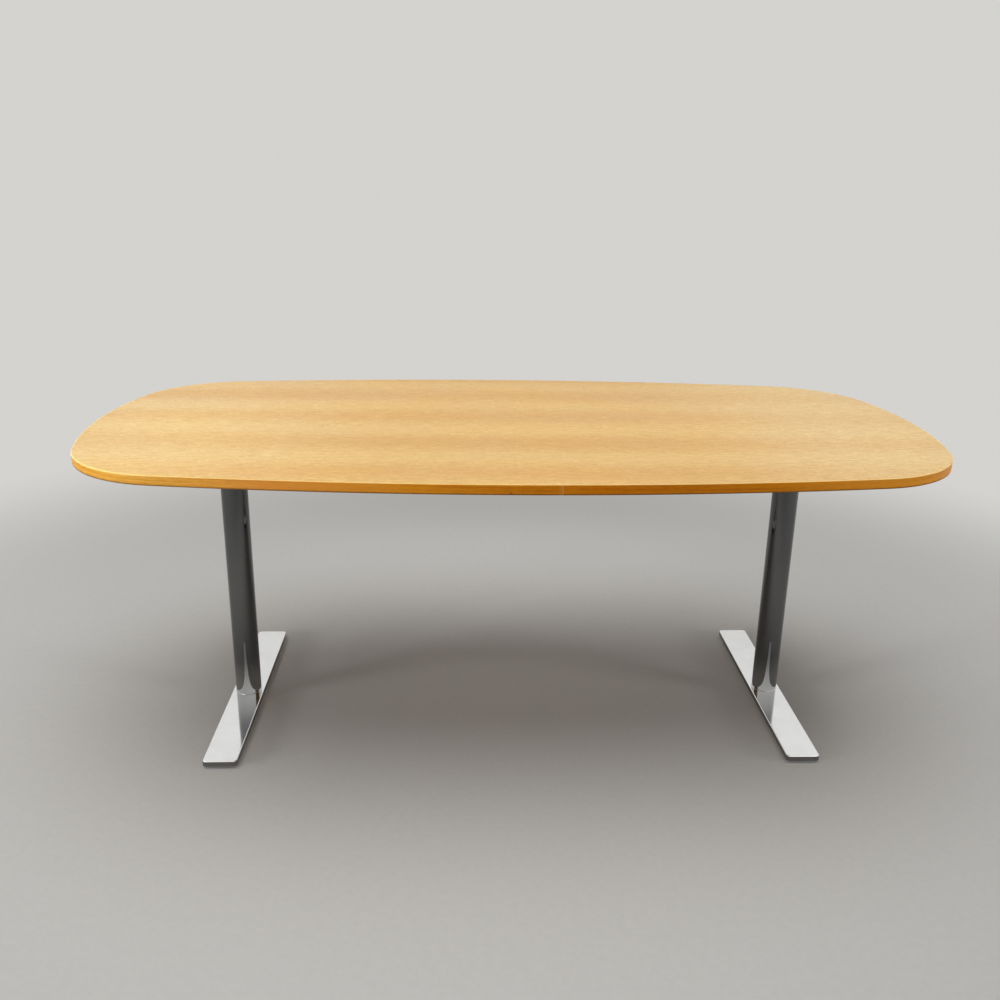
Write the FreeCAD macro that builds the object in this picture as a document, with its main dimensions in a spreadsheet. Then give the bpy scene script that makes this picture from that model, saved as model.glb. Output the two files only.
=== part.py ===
import FreeCAD, Part
import math
import os
import Sketcher

# Oval meeting table: a veneered top with bowed sides on two round columns with flat bar feet.
# Millimetres. X runs along the table, Y across it and Z up. The origin is on the floor
# under the middle of the table. Front is -Y and left is -X.

SIZES = {
    # Table top
    "top_length": 2000.0,
    "top_width": 1000.0,
    "top_height": 750.0,
    "top_thickness": 22.0,
    "side_bow_radius": 5600.0,
    "end_bow_radius": 1040.0,
    "corner_radius": 258.0,
    "veneer_thickness": 0.7,
    "lipping_thickness": 3.0,
    "lipping_round": 1.5,
    # Columns and feet
    "end_overhang": 310.0,
    "column_diameter": 65.0,
    "column_wall": 2.0,
    "column_edge_round": 1.0,
    "plug_height": 25.0,
    "foot_setback": 160.0,
    "foot_width": 80.0,
    "foot_thickness": 13.0,
    "foot_corner_radius": 9.0,
    "foot_edge_round": 2.0,
    # Levelling glides
    "glide_inset": 42.0,
    "pad_diameter": 34.0,
    "pad_height": 4.0,
    "pad_floor": 1.2,
    "pad_edge_round": 1.0,
    "stud_thread_diameter": 8.0,
    "stud_thread_length": 9.5,
    "stud_hole_end_gap": 1.0,
    "stud_collar_flats": 13.0,
    "stud_collar_height": 3.0,
    "stud_neck_diameter": 7.0,
    "stud_button_diameter": 9.0,
    "stud_button_height": 1.0,
    # Cross arms and their flanges
    "arm_setback": 190.0,
    "arm_taper_length": 110.0,
    "arm_height": 30.0,
    "arm_end_height": 14.0,
    "arm_wall": 4.0,
    "flange_thickness": 8.0,
    "flange_margin": 4.0,
    "flange_corner_radius": 6.0,
    # Rails between the cross arms
    "rail_spacing": 300.0,
    "rail_width": 30.0,
    "rail_height": 22.0,
    "rail_wall": 2.0,
    "rail_edge_round": 1.8,
    "rail_plug_length": 25.0,
    # Machine bolts
    "bolt_diameter": 8.0,
    "bolt_head_diameter": 14.0,
    "bolt_head_height": 5.0,
    "bolt_socket_flats": 5.0,
    "bolt_socket_depth": 3.0,
    "bolt_head_round": 1.5,
    "bolt_margin": 4.0,
    "rail_bolt_reach": 16.0,
    "flange_bolt_reach": 11.0,
    # Foot bolts
    "foot_bolt_spacing": 30.0,
    "foot_bolt_diameter": 8.0,
    "foot_bolt_head_diameter": 13.0,
    "foot_bolt_head_height": 8.0,
    "foot_bolt_reach": 18.0,
    "foot_bolt_sink": 0.5,
    # Threaded inserts and wood screws in the board
    "insert_diameter": 12.0,
    "insert_length": 13.0,
    "screw_diameter": 4.5,
    "screw_head_diameter": 9.0,
    "screw_head_height": 3.0,
    "screw_reach": 14.0,
    "screw_tip_length": 4.0,
    "screw_spacing": 40.0,
    "screw_end_inset": 30.0,
    # Clearances
    "press_gap": 0.05,
    "thread_gap": 0.1,
    "stud_gap": 0.3,
    "bolt_hole_gap": 0.5,
    "arm_flange_gap": 0.5,
    "hole_end_gap": 0.5,
    "cut_overrun": 5.0,
}

SIDES = {"left": -1, "right": 1}
ENDS = {"front": -1, "rear": 1}
FULL_TURN = 360
HALF_TURN = 180
QUARTER_TURN = 90
HEX_CORNERS = 6
LENGTH_TOLERANCE = 1e-4
# How a sketch numbers its own axes and the points of a line, arc or circle
ACROSS_AXIS, UP_AXIS = -1, -2
START, END, CENTRE = range(1, 4)
X_AXIS = FreeCAD.Vector(1, 0, 0)
Y_AXIS = FreeCAD.Vector(0, 1, 0)
Z_AXIS = FreeCAD.Vector(0, 0, 1)


class Size:
    """A length: its value in millimetres and the sheet formula that it follows."""

    def __init__(self, value, formula):
        self.value = value
        self.formula = formula

    def __add__(self, other):
        return Size(self.value + other.value, f"({self.formula} + {other.formula})")

    def __sub__(self, other):
        return Size(self.value - other.value, f"({self.formula} - {other.formula})")

    def __mul__(self, number):
        return Size(self.value * number, f"({self.formula} * {number})")

    def __truediv__(self, number):
        return Size(self.value / number, f"({self.formula} / {number})")


doc = FreeCAD.newDocument("OvalTable")
sheet = doc.addObject("Spreadsheet::Sheet", "Sheet")
for row, (name, value) in enumerate(SIZES.items(), start=1):
    sheet.set(f"A{row}", name)
    sheet.set(f"B{row}", str(value))
    sheet.setAlias(f"B{row}", name)
doc.recompute()


def size(name):
    return Size(float(sheet.get(name)), f"Sheet.{name}")


ZERO = Size(0.0, "0")
parts = []


def keep(part, label):
    """Name a finished part and list it for export."""
    part.Label = label
    parts.append(part)


def bind(thing, prop, length):
    thing.setExpression(prop, length.formula)


def place(thing, x, y, z, turn=FreeCAD.Rotation()):
    thing.Placement = FreeCAD.Placement(FreeCAD.Vector(x.value, y.value, z.value), turn)
    bind(thing, "Placement.Base.x", x)
    bind(thing, "Placement.Base.y", y)
    bind(thing, "Placement.Base.z", z)


def new_body(label):
    return doc.addObject("PartDesign::Body", label)


def new_sketch(body, name, plane="XY_Plane"):
    sketch = body.newObject("Sketcher::SketchObject", name)
    support = next(item for item in body.Origin.OriginFeatures if item.Role == plane)
    sketch.AttachmentSupport = [(support, "")]
    sketch.MapMode = "FlatFace"
    return sketch


def dimension(sketch, kind, length, *points):
    index = sketch.addConstraint(Sketcher.Constraint(kind, *points, length.value))
    sketch.setExpression(f"Constraints[{index}]", length.formula)


def locate(sketch, geometry, point, x, y):
    """Fix a point of a sketch by its two coordinates."""
    if x is ZERO:
        sketch.addConstraint(Sketcher.Constraint("PointOnObject", geometry, point, UP_AXIS))
    else:
        dimension(sketch, "DistanceX", x, ACROSS_AXIS, START, geometry, point)
    if y is ZERO:
        sketch.addConstraint(Sketcher.Constraint("PointOnObject", geometry, point, ACROSS_AXIS))
    else:
        dimension(sketch, "DistanceY", y, ACROSS_AXIS, START, geometry, point)


def add_circle(sketch, x, y, diameter):
    centre = FreeCAD.Vector(x.value, y.value, 0)
    index = sketch.addGeometry(Part.Circle(centre, Z_AXIS, diameter.value / 2), False)
    locate(sketch, index, CENTRE, x, y)
    dimension(sketch, "Diameter", diameter, index)


def add_polygon(sketch, corners):
    """Draw a closed outline through corners that are given by their coordinates."""
    points = [FreeCAD.Vector(x.value, y.value, 0) for x, y in corners]
    lines = []
    for start, end in zip(points, points[1:] + points[:1]):
        lines.append(sketch.addGeometry(Part.LineSegment(start, end), False))
    for line, following in zip(lines, lines[1:] + lines[:1]):
        sketch.addConstraint(Sketcher.Constraint("Coincident", line, END, following, START))
    for line, (x, y) in zip(lines, corners):
        locate(sketch, line, START, x, y)


def add_rectangle(sketch, width, height):
    """Draw a rectangle about the origin."""
    right = width / 2
    left = right * -1
    top = height / 2
    bottom = top * -1
    add_polygon(sketch, [(left, bottom), (right, bottom), (right, top), (left, top)])


def add_hexagon(sketch, flats):
    """Draw a regular hexagon about the origin with flats facing Y."""
    corner_ratio = 1 / math.sqrt(3)
    far = flats * corner_ratio
    near = far / 2
    rise = flats / 2
    add_polygon(sketch, [
        (far, ZERO), (near, rise), (near * -1, rise),
        (far * -1, ZERO), (near * -1, rise * -1), (near, rise * -1),
    ])


def pad(body, sketch, length, symmetric=False):
    feature = body.newObject("PartDesign::Pad", f"{sketch.Name}_pad")
    feature.Profile = sketch
    feature.SideType = "Symmetric" if symmetric else "One side"
    bind(feature, "Length", length)
    doc.recompute()
    return feature


def pocket(body, sketch, depth=None, forward=False, symmetric=False):
    """Cut a sketch into its body, along the sketch normal if forward, right through if no depth."""
    before = body.Shape.Volume
    feature = body.newObject("PartDesign::Pocket", f"{sketch.Name}_cut")
    feature.Profile = sketch
    feature.SideType = "Symmetric" if symmetric else "One side"
    feature.Reversed = forward
    if depth is None:
        feature.Type = "ThroughAll"
    else:
        bind(feature, "Length", depth)
    doc.recompute()
    if body.Shape.Volume > before - LENGTH_TOLERANCE:
        raise ValueError(f"{feature.Name} removes nothing")
    return feature


def revolve(body, sketch):
    feature = body.newObject("PartDesign::Revolution", f"{sketch.Name}_turned")
    feature.Profile = sketch
    feature.ReferenceAxis = (sketch, ["V_Axis"])
    feature.Angle = FULL_TURN
    doc.recompute()
    return feature


def fillet(body, feature, chosen, radius):
    """Round the edges of a feature that a test picks out."""
    names = [f"Edge{i}" for i, edge in enumerate(feature.Shape.Edges, start=1) if chosen(edge)]
    rounding = body.newObject("PartDesign::Fillet", f"{feature.Name}_round")
    rounding.Base = (feature, names)
    bind(rounding, "Radius", radius)
    doc.recompute()
    return rounding


def is_straight_along(axis):
    def test(edge):
        if not isinstance(edge.Curve, Part.Line):
            return False
        return edge.Curve.Direction.cross(axis).Length < LENGTH_TOLERANCE
    return test


def is_level_at(height):
    def test(edge):
        return all(abs(vertex.Z - height) < LENGTH_TOLERANCE for vertex in edge.Vertexes)
    return test


# Heights of the layers, from the floor up
top_height = size("top_height")
underside = top_height - size("top_thickness")
foot_bottom = size("pad_height") + size("stud_collar_height")
foot_top = foot_bottom + size("foot_thickness")
arm_web_bottom = underside - size("arm_wall")
flange_bottom = arm_web_bottom - size("flange_thickness")
rail_axis_drop = size("arm_height") / 2

# Lengths that follow from the table top
column_offset = size("top_length") / 2 - size("end_overhang")
foot_length = size("top_width") - size("foot_setback") * 2
arm_length = size("top_width") - size("arm_setback") * 2

# Widths that follow from the column
flange_width = size("column_diameter") + size("flange_margin") * 2
arm_inner_width = flange_width + size("arm_flange_gap") * 2
arm_width = arm_inner_width + size("arm_wall") * 2

# Places of the fasteners, measured from a column's axis
bolt_head_radius = size("bolt_head_diameter") / 2
flange_bolt_x = flange_width / 2 - bolt_head_radius - size("bolt_margin")
flange_bolt_y = size("column_diameter") / 2 + bolt_head_radius + size("bolt_margin")
flange_length = (flange_bolt_y + bolt_head_radius + size("bolt_margin")) * 2
screw_x = size("screw_spacing") / 2
screw_y = arm_length / 2 - size("screw_end_inset")
foot_bolt_y = size("foot_bolt_spacing") / 2
glide_y = foot_length / 2 - size("glide_inset")
rail_y = size("rail_spacing") / 2

# Bores
bolt_hole = size("bolt_diameter") + size("bolt_hole_gap") * 2
bolt_thread_hole = size("bolt_diameter") + size("thread_gap") * 2
insert_hole = size("insert_diameter") + size("press_gap") * 2
screw_hole = size("screw_diameter") + size("press_gap") * 2
stud_hole = size("stud_thread_diameter") + size("stud_gap") * 2
foot_bolt_hole = size("foot_bolt_diameter") + size("bolt_hole_gap") * 2
foot_bolt_thread_hole = size("foot_bolt_diameter") + size("thread_gap") * 2
foot_bolt_head_hole = size("foot_bolt_head_diameter") + size("bolt_hole_gap") * 2


def add_outline(sketch, inset):
    """Draw the table's outline, set in by a given width: four bowed sides and four corner arcs."""
    half_length = size("top_length") / 2
    half_width = size("top_width") / 2
    side_drop = size("side_bow_radius") - half_width
    end_shift = half_length - size("end_bow_radius")
    side_radius = size("side_bow_radius") - inset
    end_radius = size("end_bow_radius") - inset
    corner_radius = size("corner_radius") - inset

    # A corner arc touches a side arc and an end arc from inside
    side_centre = FreeCAD.Vector(0, -side_drop.value, 0)
    end_centre = FreeCAD.Vector(end_shift.value, 0, 0)
    side_reach = side_radius.value - corner_radius.value
    end_reach = end_radius.value - corner_radius.value
    base = end_centre - side_centre
    along = (side_reach ** 2 - end_reach ** 2 + base.Length ** 2) / (2 * base.Length)
    across = math.sqrt(side_reach ** 2 - along ** 2)
    unit = base / base.Length
    normal = FreeCAD.Vector(unit.y, -unit.x, 0)
    if normal.x < 0:
        normal = normal * -1
    corner = side_centre + unit * along + normal * across
    to_side = corner - side_centre
    to_end = corner - end_centre
    side_angle = math.atan2(to_side.y, to_side.x)
    end_angle = math.atan2(to_end.y, to_end.x)

    half_turn = math.radians(HALF_TURN)
    full_turn = math.radians(FULL_TURN)
    right = FreeCAD.Vector(corner.x, 0, 0)
    left = right * -1
    rear = FreeCAD.Vector(0, corner.y, 0)
    front = rear * -1
    arcs = [
        (end_centre, end_radius, -end_angle, end_angle),
        (right + rear, corner_radius, end_angle, side_angle),
        (side_centre, side_radius, side_angle, half_turn - side_angle),
        (left + rear, corner_radius, half_turn - side_angle, half_turn - end_angle),
        (end_centre * -1, end_radius, half_turn - end_angle, half_turn + end_angle),
        (left + front, corner_radius, half_turn + end_angle, half_turn + side_angle),
        (side_centre * -1, side_radius, half_turn + side_angle, full_turn - side_angle),
        (right + front, corner_radius, full_turn - side_angle, full_turn - end_angle),
    ]
    lines = []
    for centre, radius, start, end in arcs:
        circle = Part.Circle(centre, Z_AXIS, radius.value)
        lines.append(sketch.addGeometry(Part.ArcOfCircle(circle, start, end), False))
    for line, following in zip(lines, lines[1:] + lines[:1]):
        sketch.addConstraint(Sketcher.Constraint("Tangent", line, END, following, START))
    for line, (centre, radius, start, end) in zip(lines, arcs):
        dimension(sketch, "Radius", radius, line)
    right_end, _, rear_side, _, left_end, _, front_side, _ = lines
    for line, x, y in (
        (right_end, end_shift, ZERO), (left_end, end_shift * -1, ZERO),
        (rear_side, ZERO, side_drop * -1), (front_side, ZERO, side_drop),
    ):
        locate(sketch, line, CENTRE, x, y)


def add_board_holes(sketch, bolt_bore, screw_bore):
    """Draw the bores over both cross arms, bolts and screws apart so that one kind can be left out."""
    for sign in SIDES.values():
        for step in (-1, 1):
            for end in ENDS.values():
                middle = column_offset * sign
                if bolt_bore:
                    add_circle(sketch, middle + flange_bolt_x * step, flange_bolt_y * end, bolt_bore)
                if screw_bore:
                    add_circle(sketch, middle + screw_x * step, screw_y * end, screw_bore)


# Table top: board, veneer on both faces and a lipping round the edge
core_thickness = size("top_thickness") - size("veneer_thickness") * 2

core = new_body("core_board")
sketch = new_sketch(core, "core_outline")
add_outline(sketch, size("lipping_thickness"))
pad(core, sketch, core_thickness)
sketch = new_sketch(core, "core_insert_holes")
add_board_holes(sketch, insert_hole, None)
pocket(core, sketch, size("insert_length") + size("hole_end_gap") - size("veneer_thickness"), forward=True)
sketch = new_sketch(core, "core_screw_holes")
add_board_holes(sketch, None, screw_hole)
pocket(core, sketch, size("screw_reach") + size("hole_end_gap") - size("veneer_thickness"), forward=True)
place(core, ZERO, ZERO, underside + size("veneer_thickness"))
keep(core, "core_board")

face = new_body("face_veneer")
sketch = new_sketch(face, "face_outline")
add_outline(sketch, size("lipping_thickness"))
pad(face, sketch, size("veneer_thickness"))
place(face, ZERO, ZERO, top_height - size("veneer_thickness"))
keep(face, "face_veneer")

backing = new_body("backing_veneer")
sketch = new_sketch(backing, "backing_outline")
add_outline(sketch, size("lipping_thickness"))
pad(backing, sketch, size("veneer_thickness"))
sketch = new_sketch(backing, "backing_holes")
add_board_holes(sketch, insert_hole, screw_hole)
pocket(backing, sketch, forward=True)
place(backing, ZERO, ZERO, underside)
keep(backing, "backing_veneer")

lipping = new_body("edge_lipping")
sketch = new_sketch(lipping, "lipping_outline")
add_outline(sketch, ZERO)
add_outline(sketch, size("lipping_thickness"))
ring = pad(lipping, sketch, size("top_thickness"))
outer_radii = [size(name).value for name in ("side_bow_radius", "end_bow_radius", "corner_radius")]


def is_outer_arris(edge):
    if not isinstance(edge.Curve, Part.Circle):
        return False
    return any(abs(edge.Curve.Radius - radius) < LENGTH_TOLERANCE for radius in outer_radii)


fillet(lipping, ring, is_outer_arris, size("lipping_round"))
place(lipping, ZERO, ZERO, underside)
keep(lipping, "edge_lipping")


def make_bolt(name, head_diameter, head_height, shank_diameter, shank_length):
    """A button head bolt standing on its head, the underside of the head at the origin."""
    body = new_body(name)
    sketch = new_sketch(body, f"{name}_profile", "XZ_Plane")
    head_radius = head_diameter / 2
    crown_radius = head_radius - size("bolt_head_round")
    crown_foot = head_height * -1 + size("bolt_head_round")
    shank_radius = shank_diameter / 2
    add_polygon(sketch, [
        (ZERO, head_height * -1), (crown_radius, head_height * -1), (head_radius, crown_foot),
        (head_radius, ZERO), (shank_radius, ZERO), (shank_radius, shank_length), (ZERO, shank_length),
    ])
    revolve(body, sketch)
    sketch = new_sketch(body, f"{name}_socket")
    add_hexagon(sketch, size("bolt_socket_flats"))
    bind(sketch, "AttachmentOffset.Base.z", head_height * -1)
    pocket(body, sketch, size("bolt_socket_depth"), forward=True)
    return body


def make_screw(name):
    """A pan head wood screw standing on its head, the underside of the head at the origin."""
    body = new_body(name)
    sketch = new_sketch(body, f"{name}_profile", "XZ_Plane")
    head_radius = size("screw_head_diameter") / 2
    crown_radius = head_radius - size("bolt_head_round")
    crown_foot = size("bolt_head_round") - size("screw_head_height")
    shank_radius = size("screw_diameter") / 2
    shank_length = size("arm_wall") + size("screw_reach")
    add_polygon(sketch, [
        (ZERO, size("screw_head_height") * -1), (crown_radius, size("screw_head_height") * -1),
        (head_radius, crown_foot), (head_radius, ZERO), (shank_radius, ZERO),
        (shank_radius, shank_length - size("screw_tip_length")), (ZERO, shank_length),
    ])
    revolve(body, sketch)
    return body


def make_insert(name):
    """A threaded sleeve standing on the origin."""
    body = new_body(name)
    sketch = new_sketch(body, f"{name}_profile")
    add_circle(sketch, ZERO, ZERO, size("insert_diameter"))
    add_circle(sketch, ZERO, ZERO, bolt_thread_hole)
    pad(body, sketch, size("insert_length"))
    return body


def is_lower_rim(edge):
    """True for the outer edge of a column's lower end."""
    if not isinstance(edge.Curve, Part.Circle) or abs(edge.Vertexes[0].Z) > LENGTH_TOLERANCE:
        return False
    return abs(edge.Curve.Radius - size("column_diameter").value / 2) < LENGTH_TOLERANCE


def keep_group(label, members):
    group = doc.addObject("Part::Compound", label)
    group.Links = members
    keep(group, label)


# The two legs
for side, sign in SIDES.items():
    column_x = column_offset * sign
    # Foot bar, with blind holes for the studs and sunk holes for the bolts, all from below
    foot = new_body(f"foot_{side}")
    sketch = new_sketch(foot, f"foot_{side}_plan")
    add_rectangle(sketch, size("foot_width"), foot_length)
    bar = pad(foot, sketch, size("foot_thickness"))
    bar = fillet(foot, bar, is_straight_along(Z_AXIS), size("foot_corner_radius"))
    fillet(foot, bar, is_level_at(size("foot_thickness").value), size("foot_edge_round"))
    sketch = new_sketch(foot, f"foot_{side}_stud_holes")
    for end in ENDS.values():
        add_circle(sketch, ZERO, glide_y * end, stud_hole)
    pocket(foot, sketch, size("stud_thread_length") + size("stud_hole_end_gap"), forward=True)
    sketch = new_sketch(foot, f"foot_{side}_bolt_holes")
    for end in ENDS.values():
        add_circle(sketch, ZERO, foot_bolt_y * end, foot_bolt_hole)
    pocket(foot, sketch, forward=True)
    sketch = new_sketch(foot, f"foot_{side}_head_holes")
    for end in ENDS.values():
        add_circle(sketch, ZERO, foot_bolt_y * end, foot_bolt_head_hole)
    pocket(foot, sketch, size("foot_bolt_head_height") + size("foot_bolt_sink"), forward=True)
    place(foot, column_x, ZERO, foot_bottom)
    keep(foot, f"foot_{side}")

    # Column tube with a tapped plug in its lower end
    column = new_body(f"column_{side}")
    sketch = new_sketch(column, f"column_{side}_rings")
    add_circle(sketch, ZERO, ZERO, size("column_diameter"))
    add_circle(sketch, ZERO, ZERO, size("column_diameter") - size("column_wall") * 2)
    tube = pad(column, sketch, flange_bottom - foot_top)
    fillet(column, tube, is_lower_rim, size("column_edge_round"))
    place(column, column_x, ZERO, foot_top)
    keep(column, f"column_{side}")

    plug = new_body(f"column_plug_{side}")
    sketch = new_sketch(plug, f"column_plug_{side}_plan")
    add_circle(sketch, ZERO, ZERO, size("column_diameter") - (size("column_wall") + size("press_gap")) * 2)
    for end in ENDS.values():
        add_circle(sketch, ZERO, foot_bolt_y * end, foot_bolt_thread_hole)
    pad(plug, sketch, size("plug_height"))
    place(plug, column_x, ZERO, foot_top)
    keep(plug, f"column_plug_{side}")

    bolts = []
    for end_name, end in ENDS.items():
        head_seat = size("foot_bolt_head_height") + size("foot_bolt_sink")
        bolt = make_bolt(
            f"foot_bolt_{end_name}_{side}", size("foot_bolt_head_diameter"), size("foot_bolt_head_height"),
            size("foot_bolt_diameter"), size("foot_thickness") - head_seat + size("foot_bolt_reach"),
        )
        place(bolt, column_x, foot_bolt_y * end, foot_bottom + head_seat)
        bolts.append(bolt)
    keep_group(f"foot_bolts_{side}", bolts)

    # Flange plate on the column's upper end
    flange = new_body(f"column_flange_{side}")
    sketch = new_sketch(flange, f"column_flange_{side}_plan")
    add_rectangle(sketch, flange_width, flange_length)
    plate = pad(flange, sketch, size("flange_thickness"))
    fillet(flange, plate, is_straight_along(Z_AXIS), size("flange_corner_radius"))
    sketch = new_sketch(flange, f"column_flange_{side}_holes")
    for step in (-1, 1):
        for end in ENDS.values():
            add_circle(sketch, flange_bolt_x * step, flange_bolt_y * end, bolt_hole)
    pocket(flange, sketch, forward=True)
    place(flange, column_x, ZERO, flange_bottom)
    keep(flange, f"column_flange_{side}")

    # Cross arm: a channel with its web against the board and side walls that taper to the ends
    arm = new_body(f"cross_arm_{side}")
    sketch = new_sketch(arm, f"cross_arm_{side}_section", "XZ_Plane")
    outer = arm_width / 2
    inner = arm_inner_width / 2
    web = size("arm_wall") * -1
    deep = size("arm_height") * -1
    add_polygon(sketch, [
        (outer * -1, deep), (inner * -1, deep), (inner * -1, web), (inner, web),
        (inner, deep), (outer, deep), (outer, ZERO), (outer * -1, ZERO),
    ])
    pad(arm, sketch, arm_length, symmetric=True)
    sketch = new_sketch(arm, f"cross_arm_{side}_tapers", "YZ_Plane")
    shallow = size("arm_end_height") * -1
    below = deep - size("cut_overrun")
    for end in ENDS.values():
        taper_start = (arm_length / 2 - size("arm_taper_length")) * end
        taper_end = arm_length / 2 * end
        beyond = (arm_length / 2 + size("cut_overrun")) * end
        add_polygon(sketch, [
            (taper_start, deep), (taper_end, shallow), (beyond, shallow),
            (beyond, below), (taper_start, below),
        ])
    pocket(arm, sketch, symmetric=True)
    sketch = new_sketch(arm, f"cross_arm_{side}_web_holes")
    for step in (-1, 1):
        for end in ENDS.values():
            add_circle(sketch, flange_bolt_x * step, flange_bolt_y * end, bolt_hole)
            add_circle(sketch, screw_x * step, screw_y * end, screw_hole)
    pocket(arm, sketch)
    sketch = new_sketch(arm, f"cross_arm_{side}_wall_holes", "YZ_Plane")
    for end in ENDS.values():
        add_circle(sketch, rail_y * end, rail_axis_drop * -1, bolt_hole)
    pocket(arm, sketch, forward=sign < 0)
    place(arm, column_x, ZERO, underside)
    keep(arm, f"cross_arm_{side}")

    # Bolts up through flange and arm into the inserts in the board, and screws near the arm's ends
    bolts = []
    inserts = []
    screws = []
    shank_length = size("flange_thickness") + size("arm_wall") + size("flange_bolt_reach")
    for step in (-1, 1):
        for end_name, end in ENDS.items():
            spot = f"{end_name}_{side}_{len(bolts)}"
            bolt = make_bolt(
                f"flange_bolt_{spot}", size("bolt_head_diameter"), size("bolt_head_height"),
                size("bolt_diameter"), shank_length,
            )
            place(bolt, column_x + flange_bolt_x * step, flange_bolt_y * end, flange_bottom)
            bolts.append(bolt)
            insert = make_insert(f"insert_{spot}")
            place(insert, column_x + flange_bolt_x * step, flange_bolt_y * end, underside)
            inserts.append(insert)
            screw = make_screw(f"arm_screw_{spot}")
            place(screw, column_x + screw_x * step, screw_y * end, arm_web_bottom)
            screws.append(screw)
    keep_group(f"flange_bolts_{side}", bolts)
    keep_group(f"board_inserts_{side}", inserts)
    keep_group(f"arm_screws_{side}", screws)

    # Bolts from inside the arm into the rail plugs
    bolts = []
    for end_name, end in ENDS.items():
        bolt = make_bolt(
            f"rail_bolt_{end_name}_{side}", size("bolt_head_diameter"), size("bolt_head_height"),
            size("bolt_diameter"), size("arm_wall") + size("rail_bolt_reach"),
        )
        inward = FreeCAD.Rotation(Y_AXIS, QUARTER_TURN * -sign)
        place(bolt, column_x - arm_inner_width / 2 * sign, rail_y * end, underside - rail_axis_drop, inward)
        bolts.append(bolt)
    keep_group(f"rail_bolts_{side}", bolts)

    # Levelling glides: a pad on the floor and a stud that screws into the foot
    for end_name, end in ENDS.items():
        spot = f"{end_name}_{side}"
        pad_body = new_body(f"glide_pad_{spot}")
        sketch = new_sketch(pad_body, f"glide_pad_{spot}_profile", "XZ_Plane")
        rim = size("pad_diameter") / 2
        shoulder = rim - size("pad_edge_round")
        shoulder_height = size("pad_height") - size("pad_edge_round")
        neck = size("stud_neck_diameter") / 2 + size("stud_gap")
        socket = size("stud_button_diameter") / 2 + size("stud_gap")
        socket_top = size("pad_floor") + size("stud_button_height") + size("stud_gap") * 2
        add_polygon(sketch, [
            (ZERO, ZERO), (rim, ZERO), (rim, shoulder_height), (shoulder, size("pad_height")),
            (neck, size("pad_height")), (neck, socket_top), (socket, socket_top),
            (socket, size("pad_floor")), (ZERO, size("pad_floor")),
        ])
        revolve(pad_body, sketch)
        place(pad_body, column_x, glide_y * end, ZERO)
        keep(pad_body, f"glide_pad_{spot}")

        stud = new_body(f"glide_stud_{spot}")
        sketch = new_sketch(stud, f"glide_stud_{spot}_collar")
        add_hexagon(sketch, size("stud_collar_flats"))
        bind(sketch, "AttachmentOffset.Base.z", size("pad_height"))
        pad(stud, sketch, size("stud_collar_height"))
        sketch = new_sketch(stud, f"glide_stud_{spot}_profile", "XZ_Plane")
        thread_radius = size("stud_thread_diameter") / 2
        neck_radius = size("stud_neck_diameter") / 2
        button_radius = size("stud_button_diameter") / 2
        button_bottom = size("pad_floor") + size("stud_gap")
        button_top = button_bottom + size("stud_button_height")
        stud_top = foot_bottom + size("stud_thread_length")
        add_polygon(sketch, [
            (ZERO, button_bottom), (button_radius, button_bottom), (button_radius, button_top),
            (neck_radius, button_top), (neck_radius, size("pad_height")), (thread_radius, size("pad_height")),
            (thread_radius, stud_top), (ZERO, stud_top),
        ])
        revolve(stud, sketch)
        place(stud, column_x, glide_y * end, ZERO)
        keep(stud, f"glide_stud_{spot}")

# Rails between the two cross arms, with a tapped plug in each end
rail_length = (column_offset - arm_width / 2) * 2
bore_width = size("rail_width") - size("rail_wall") * 2
bore_height = size("rail_height") - size("rail_wall") * 2
for end_name, end in ENDS.items():
    rail = new_body(f"rail_{end_name}")
    sketch = new_sketch(rail, f"rail_{end_name}_outside", "YZ_Plane")
    add_rectangle(sketch, size("rail_width"), size("rail_height"))
    tube = pad(rail, sketch, rail_length, symmetric=True)
    fillet(rail, tube, is_straight_along(X_AXIS), size("rail_edge_round"))
    sketch = new_sketch(rail, f"rail_{end_name}_bore", "YZ_Plane")
    add_rectangle(sketch, bore_width, bore_height)
    pocket(rail, sketch, symmetric=True)
    place(rail, ZERO, rail_y * end, underside - rail_axis_drop)
    keep(rail, f"rail_{end_name}")
    for side, sign in SIDES.items():
        plug = new_body(f"rail_plug_{end_name}_{side}")
        sketch = new_sketch(plug, f"rail_plug_{end_name}_{side}_section", "YZ_Plane")
        add_rectangle(sketch, bore_width - size("press_gap") * 2, bore_height - size("press_gap") * 2)
        add_circle(sketch, ZERO, ZERO, bolt_thread_hole)
        pad(plug, sketch, size("rail_plug_length"), symmetric=True)
        middle = (rail_length - size("rail_plug_length")) / 2 * sign
        place(plug, middle, rail_y * end, underside - rail_axis_drop)
        keep(plug, f"rail_plug_{end_name}_{side}")

# Check every object and write one file for each part
doc.recompute()
for item in doc.Objects:
    if "Invalid" in item.State or "Error" in item.State:
        raise ValueError(f"{item.Name} is in error: {item.State}")
os.makedirs("parts", exist_ok=True)
for part in parts:
    if part.Shape.isNull() or not part.Shape.isValid():
        raise ValueError(f"{part.Label} has no valid shape")
    part.Shape.exportStep(f"parts/{part.Label}.step")
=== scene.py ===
import math
import random

import bpy
from mathutils import Matrix, Vector


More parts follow.
